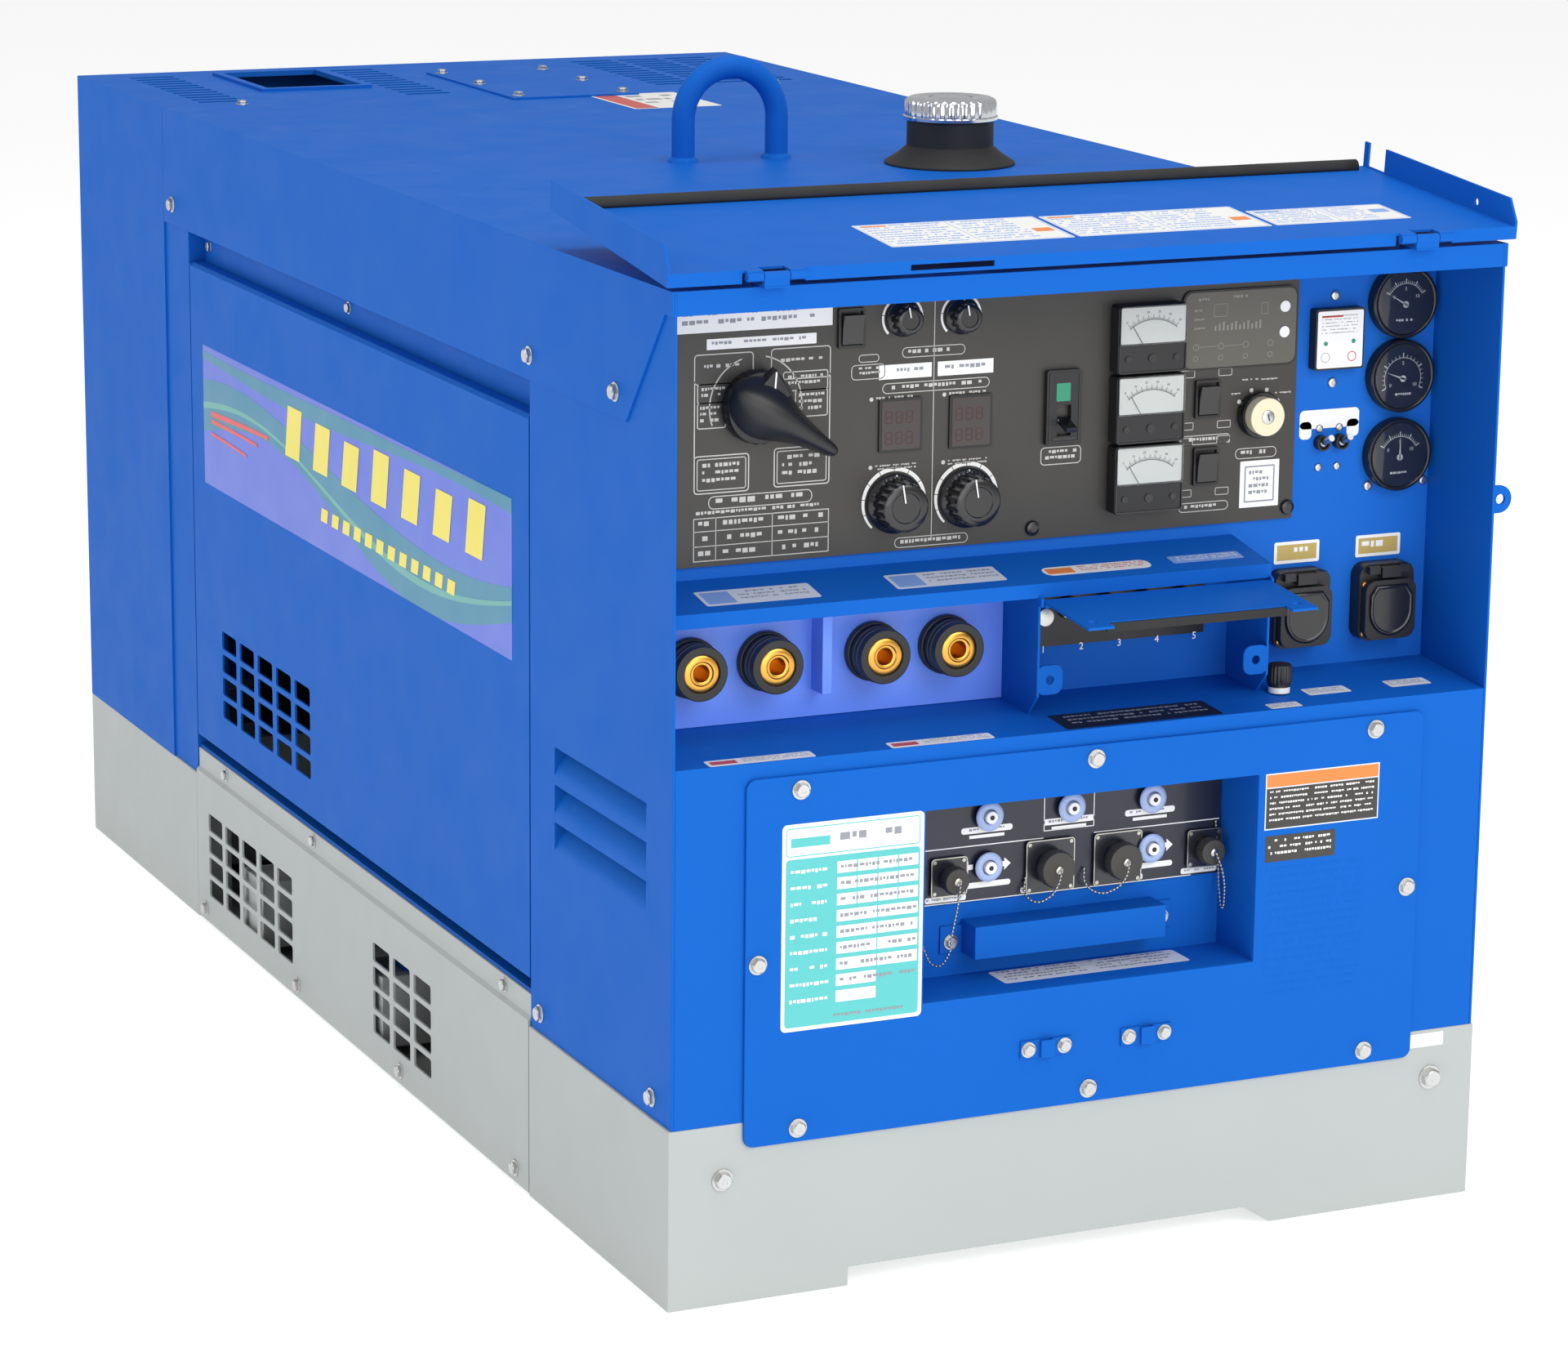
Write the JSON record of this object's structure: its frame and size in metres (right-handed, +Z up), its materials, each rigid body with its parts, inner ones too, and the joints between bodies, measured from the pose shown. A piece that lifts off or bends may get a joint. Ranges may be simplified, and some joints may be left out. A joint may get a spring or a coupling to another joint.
{
  "type": "engine driven welder",
  "caption": "Diesel engine driven arc welder in a sound-proofed sheet-metal enclosure on a skid base, with an open control lid, side doors, welding sockets and outlets.",
  "frame": {"origin": "middle of the footprint on the ground, at the bottom face of the skids", "axes": "+Z up, +Y from the control panel's face towards the radiator end, +X to the right as seen from the control panel"},
  "size_m": [0.721, 1.549, 0.86],
  "materials": {
    "blue_paint": "semi-gloss powder coat",
    "deep_blue_paint": "semi-gloss powder coat",
    "grey_paint": "satin powder coat",
    "black_plastic": "moulded, satin",
    "panel_board": "screen-printed laminate",
    "violet_board": "insulating laminate",
    "brass": "turned",
    "zinc_steel": "zinc plated",
    "engine_iron": "painted casting",
    "navy_board": "insulating board",
    "cream_plastic": "moulded, gloss",
    "black_rubber": "moulded rubber",
    "chrome": "bright chrome",
    "cap_rubber": "moulded rubber"
  },
  "bodies": {
    "machine": {"base_frame": "grey_paint", "lower_side_covers": "grey_paint", "side_rails": "blue_paint", "front_side_panels": "blue_paint", "front_panel": "blue_paint", "bonnet": "blue_paint", "rear_enclosure": "blue_paint", "recess_panel": "deep_blue_paint", "control_panel": "panel_board", "terminal_hood": "blue_paint", "insulator_plate": "violet_board", "weld_terminals": "black_plastic", "terminal_sockets": "brass", "ac_terminal_board": "black_plastic", "front_cover": "blue_paint", "receptacle_box": "deep_blue_paint", "receptacle_board": "navy_board", "front_fittings": "blue_paint", "lid_hinges": "blue_paint", "lifting_frame": "blue_paint", "fuel_tank": "black_plastic", "panel_instruments": "black_plastic", "panel_modules": "black_plastic", "body_bolts": "zinc_steel", "engine_block": "engine_iron", "engine_ancillaries": "engine_iron", "engine_mounts": "black_rubber", "radiator": "engine_iron", "muffler": "engine_iron", "generator_housing": "grey_paint"},
    "lid": {"control_lid": "blue_paint", "lid_seal": "black_rubber"},
    "door_left": {"side_door_left": "blue_paint"},
    "door_right": {"side_door_right": "blue_paint"},
    "flap": {"terminal_flap": "blue_paint"},
    "mode_selector_knob": {"mode_selector": "black_plastic"},
    "current_knob_a_dial": {"current_knob_a": "black_plastic"},
    "current_knob_b_dial": {"current_knob_b": "black_plastic"},
    "arc_knob_a_dial": {"arc_knob_a": "black_plastic"},
    "arc_knob_b_dial": {"arc_knob_b": "black_plastic"},
    "rocker_mode_cap": {"rocker_mode": "black_plastic"},
    "rocker_idle_cap": {"rocker_idle": "black_plastic"},
    "rocker_lamp_cap": {"rocker_lamp": "black_plastic"},
    "breaker_handle": {"breaker_lever": "black_plastic"},
    "key": {"key_switch": "cream_plastic"},
    "toggle_a_bat": {"toggle_a": "zinc_steel"},
    "toggle_b_bat": {"toggle_b": "zinc_steel"},
    "outlet_lid_a_cover": {"outlet_lid_a": "black_plastic"},
    "outlet_lid_b_cover": {"outlet_lid_b": "black_plastic"},
    "cap_1": {"receptacle_cap_1": "cap_rubber"},
    "cap_2": {"receptacle_cap_2": "cap_rubber"},
    "cap_3": {"receptacle_cap_3": "cap_rubber"},
    "cap_4": {"receptacle_cap_4": "cap_rubber"},
    "button_1": {"protector_button_1": "cream_plastic"},
    "button_2": {"protector_button_2": "cream_plastic"},
    "button_3": {"protector_button_3": "cream_plastic"},
    "button_4": {"protector_button_4": "cream_plastic"},
    "button_5": {"protector_button_5": "cream_plastic"},
    "fuel_cap_body": {"fuel_cap": "chrome"},
    "rotor": {"rotor_shaft": "zinc_steel"}
  },
  "joints": [
    {"name": "lid_hinge", "type": "hinge", "parent": "machine", "child": "lid", "pos_m": [0, -0.756, 0.7785], "axis": [1, 0, 0], "range_deg": [0, 265]},
    {"name": "door_left_hinge", "type": "hinge", "parent": "machine", "child": "door_left", "pos_m": [-0.3425, 0, 0.186], "axis": [0, -1, 0], "range_deg": [0, 90]},
    {"name": "door_right_hinge", "type": "hinge", "parent": "machine", "child": "door_right", "pos_m": [0.3425, 0, 0.186], "axis": [0, 1, 0], "range_deg": [0, 90]},
    {"name": "flap_hinge", "type": "hinge", "parent": "machine", "child": "flap", "pos_m": [0.067, -0.72, 0.5105], "axis": [1, 0, 0], "range_deg": [0, 85]},
    {"name": "mode_selector_turn", "type": "hinge", "parent": "machine", "child": "mode_selector_knob", "pos_m": [-0.243, -0.658, 0.666], "axis": [0, 1, 0], "range_deg": [-60, 60]},
    {"name": "current_knob_a_turn", "type": "hinge", "parent": "machine", "child": "current_knob_a_dial", "pos_m": [-0.128, -0.658, 0.584], "axis": [0, 1, 0], "range_deg": [-140, 140]},
    {"name": "current_knob_b_turn", "type": "hinge", "parent": "machine", "child": "current_knob_b_dial", "pos_m": [-0.067, -0.658, 0.584], "axis": [0, 1, 0], "range_deg": [-140, 140]},
    {"name": "arc_knob_a_turn", "type": "hinge", "parent": "machine", "child": "arc_knob_a_dial", "pos_m": [-0.123, -0.658, 0.725], "axis": [0, 1, 0], "range_deg": [-140, 140]},
    {"name": "arc_knob_b_turn", "type": "hinge", "parent": "machine", "child": "arc_knob_b_dial", "pos_m": [-0.074, -0.658, 0.724], "axis": [0, 1, 0], "range_deg": [-140, 140]},
    {"name": "rocker_mode_tip", "type": "hinge", "parent": "machine", "child": "rocker_mode_cap", "pos_m": [-0.166, -0.6601, 0.72], "axis": [1, 0, 0], "range_deg": [-18, 0]},
    {"name": "rocker_idle_tip", "type": "hinge", "parent": "machine", "child": "rocker_idle_cap", "pos_m": [0.14, -0.6601, 0.647], "axis": [1, 0, 0], "range_deg": [-18, 0]},
    {"name": "rocker_lamp_tip", "type": "hinge", "parent": "machine", "child": "rocker_lamp_cap", "pos_m": [0.14, -0.6601, 0.594], "axis": [1, 0, 0], "range_deg": [-18, 0]},
    {"name": "breaker_lever_tip", "type": "hinge", "parent": "machine", "child": "breaker_handle", "pos_m": [0.013, -0.661, 0.639], "axis": [1, 0, 0], "range_deg": [-40, 0]},
    {"name": "key_turn", "type": "hinge", "parent": "machine", "child": "key", "pos_m": [0.186, -0.658, 0.632], "axis": [0, 1, 0], "range_deg": [0, 80]},
    {"name": "toggle_a_tip", "type": "hinge", "parent": "machine", "child": "toggle_a_bat", "pos_m": [0.245, -0.6594, 0.605], "axis": [1, 0, 0], "range_deg": [0, 50]},
    {"name": "toggle_b_tip", "type": "hinge", "parent": "machine", "child": "toggle_b_bat", "pos_m": [0.262, -0.6594, 0.605], "axis": [1, 0, 0], "range_deg": [0, 50]},
    {"name": "outlet_lid_a_hinge", "type": "hinge", "parent": "machine", "child": "outlet_lid_a_cover", "pos_m": [0.226, -0.6722, 0.502], "axis": [-1, 0, 0], "range_deg": [0, 100], "stiffness_Nm_per_rad": 0.03, "springref_deg": -17.19},
    {"name": "outlet_lid_b_hinge", "type": "hinge", "parent": "machine", "child": "outlet_lid_b_cover", "pos_m": [0.303, -0.6722, 0.502], "axis": [-1, 0, 0], "range_deg": [0, 100], "stiffness_Nm_per_rad": 0.03, "springref_deg": -17.19},
    {"name": "receptacle_cap_1_turn", "type": "hinge", "parent": "machine", "child": "cap_1", "pos_m": [-0.096, -0.7056, 0.298], "axis": [0, -1, 0], "range_deg": [0, 30]},
    {"name": "receptacle_cap_2_turn", "type": "hinge", "parent": "machine", "child": "cap_2", "pos_m": [-0.009, -0.7056, 0.298], "axis": [0, -1, 0], "range_deg": [0, 30]},
    {"name": "receptacle_cap_3_turn", "type": "hinge", "parent": "machine", "child": "cap_3", "pos_m": [0.05, -0.7056, 0.298], "axis": [0, -1, 0], "range_deg": [0, 30]},
    {"name": "receptacle_cap_4_turn", "type": "hinge", "parent": "machine", "child": "cap_4", "pos_m": [0.127, -0.7056, 0.298], "axis": [0, -1, 0], "range_deg": [0, 30]},
    {"name": "protector_button_1_press", "type": "slide", "parent": "machine", "child": "button_1", "axis": [0, 1, 0], "range_m": [0, 0.003], "stiffness_N_per_m": 400, "springref_m": -0.002},
    {"name": "protector_button_2_press", "type": "slide", "parent": "machine", "child": "button_2", "axis": [0, 1, 0], "range_m": [0, 0.003], "stiffness_N_per_m": 400, "springref_m": -0.002},
    {"name": "protector_button_3_press", "type": "slide", "parent": "machine", "child": "button_3", "axis": [0, 1, 0], "range_m": [0, 0.003], "stiffness_N_per_m": 400, "springref_m": -0.002},
    {"name": "protector_button_4_press", "type": "slide", "parent": "machine", "child": "button_4", "axis": [0, 1, 0], "range_m": [0, 0.003], "stiffness_N_per_m": 400, "springref_m": -0.002},
    {"name": "protector_button_5_press", "type": "slide", "parent": "machine", "child": "button_5", "axis": [0, 1, 0], "range_m": [0, 0.003], "stiffness_N_per_m": 400, "springref_m": -0.002},
    {"name": "fuel_cap_turn", "type": "hinge", "parent": "machine", "child": "fuel_cap_body", "pos_m": [0.16, -0.164, 0.808], "axis": [0, 0, 1], "range_deg": [0, 90]},
    {"name": "crankshaft_turn", "type": "hinge", "parent": "machine", "child": "rotor", "pos_m": [0, 0, 0.3], "axis": [0, 1, 0], "continuous": true}
  ]
}
